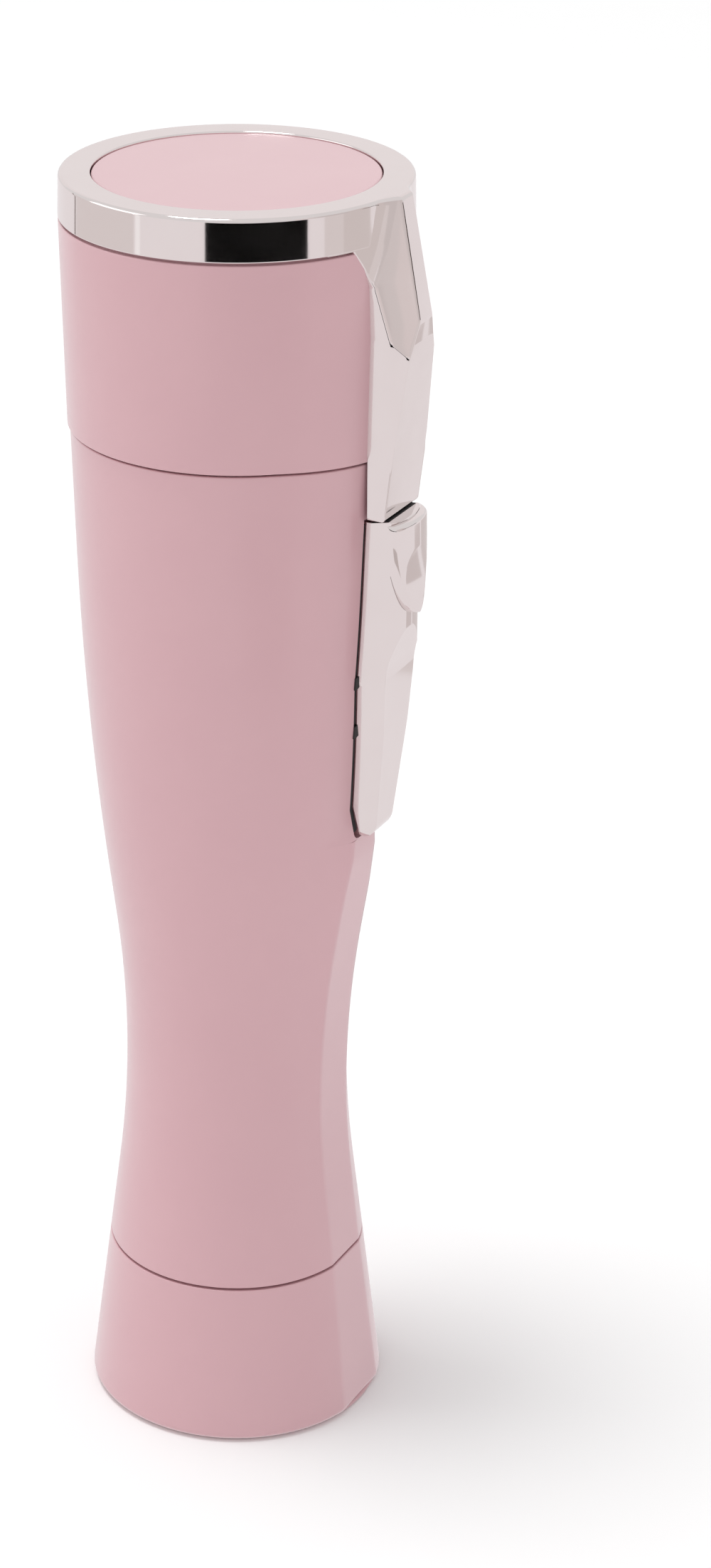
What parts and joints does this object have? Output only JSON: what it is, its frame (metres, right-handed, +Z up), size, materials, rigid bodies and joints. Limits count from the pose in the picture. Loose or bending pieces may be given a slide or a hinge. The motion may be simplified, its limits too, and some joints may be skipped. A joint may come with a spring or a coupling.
{
  "type": "epilator",
  "caption": "Hand-held epilator that stands on its base: waisted handle, sliding thumb switch, and a lift-off cap with a bright ring over a geared tweezer drum.",
  "frame": {"origin": "middle of the underside of the foot pad, on the surface the object stands on", "axes": "+Z up along the handle, -Y towards the switch at the front, X along the axis of the tweezer drum"},
  "size_m": [0.041, 0.0447, 0.16],
  "materials": {
    "pink_plastic": "moulded, satin gloss",
    "bright_chrome": "bright plated",
    "white_plastic": "moulded, fine matt",
    "black_plastic": "moulded, matt",
    "foot_rubber": "moulded, matt",
    "steel": "plain rolled and turned",
    "tweezer_steel": "stamped and polished",
    "brass": "turned",
    "cell_wrap": "shrink film",
    "board": "solder mask",
    "lead_sheath": "extruded sheath"
  },
  "bodies": {
    "handle": {"handle_sleeve": "pink_plastic", "base_cap": "pink_plastic", "foot_pad": "foot_rubber", "charge_socket": "steel", "switch_panel": "bright_chrome", "collar_ring": "white_plastic", "chassis_spine": "white_plastic", "battery_cell": "cell_wrap", "battery_tabs": "steel", "power_leads": "lead_sheath", "circuit_board": "board", "board_components": "black_plastic", "slide_switch": "steel", "motor_mount": "white_plastic", "motor_can": "steel", "motor_end_bell": "black_plastic", "head_frame": "white_plastic", "gear_bracket": "steel", "crown_axle": "steel", "idler_pin": "steel", "drum_bushes": "brass", "head_cover": "white_plastic", "motor_screws": "steel", "frame_screws": "steel", "base_screws": "steel"},
    "cap": {"cap_shell": "pink_plastic", "cap_ring": "bright_chrome", "cap_top_disc": "pink_plastic"},
    "slide_button": {"thumb_button": "bright_chrome", "button_carriage": "black_plastic"},
    "rotor": {"motor_shaft": "steel", "motor_pinion": "brass"},
    "crown": {"crown_gear": "white_plastic"},
    "idler": {"idler_gear": "white_plastic"},
    "drum": {"drum_axle": "steel", "drum_core": "black_plastic", "drum_gear": "white_plastic", "tweezer_discs": "tweezer_steel", "tweezer_blades": "tweezer_steel"}
  },
  "joints": [
    {"name": "cap_lift", "type": "slide", "parent": "handle", "child": "cap", "axis": [0, 0, 1], "range_m": [0, 0.045]},
    {"name": "switch_slide", "type": "slide", "parent": "handle", "child": "slide_button", "axis": [0, 0, -1], "range_m": [0, 0.005]},
    {"name": "drum_spin", "type": "hinge", "parent": "handle", "child": "drum", "pos_m": [0, 0, 0.1435], "axis": [1, 0, 0], "continuous": true},
    {"name": "idler_spin", "type": "hinge", "parent": "handle", "child": "idler", "pos_m": [0.0114, 0, 0.1325], "axis": [1, 0, 0], "continuous": true},
    {"name": "crown_spin", "type": "hinge", "parent": "handle", "child": "crown", "pos_m": [0.004, 0, 0.1245], "axis": [1, 0, 0], "continuous": true},
    {"name": "motor_spin", "type": "hinge", "parent": "handle", "child": "rotor", "pos_m": [0, 0, 0.1185], "axis": [0, 0, 1], "continuous": true}
  ],
  "couplings": [
    {"joint": "idler_spin", "follows": "drum_spin", "ratio": -1.2},
    {"joint": "crown_spin", "follows": "drum_spin", "ratio": 2},
    {"joint": "motor_spin", "follows": "drum_spin", "ratio": 6}
  ]
}
